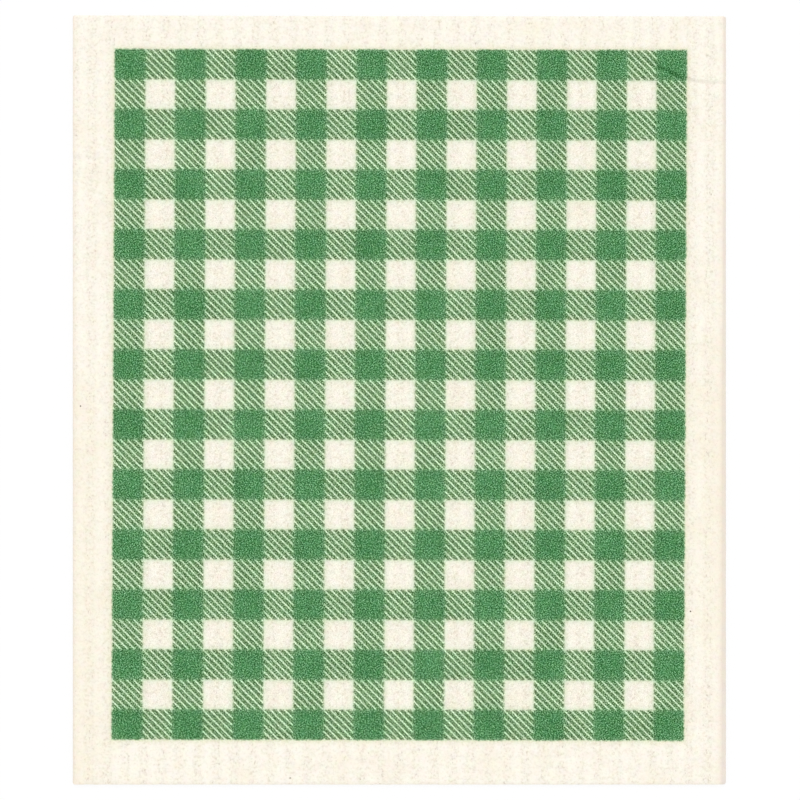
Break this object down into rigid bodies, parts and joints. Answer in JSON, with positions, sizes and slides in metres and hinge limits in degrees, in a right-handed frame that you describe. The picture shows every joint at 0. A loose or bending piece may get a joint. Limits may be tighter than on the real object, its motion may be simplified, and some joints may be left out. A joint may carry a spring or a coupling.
{
  "type": "sponge cloth",
  "caption": "Flat rectangular sponge cloth of ribbed cellulose sponge with a green and cream gingham print on one face.",
  "frame": {"origin": "under the middle of the cut outline, in the plane that the underside's ribs rest on", "axes": "+Z out of the printed face, +X across the ribs along the cloth's width, +Y along the ribs to the end with the narrower margin"},
  "size_m": [0.17, 0.2, 0.0019],
  "materials": {
    "sponge_cloth": "dry matte cellulose sponge, cream, with a green gingham ink print on the upper face"
  },
  "bodies": {
    "root": {"sponge_cloth": "sponge_cloth"}
  },
  "joints": []
}
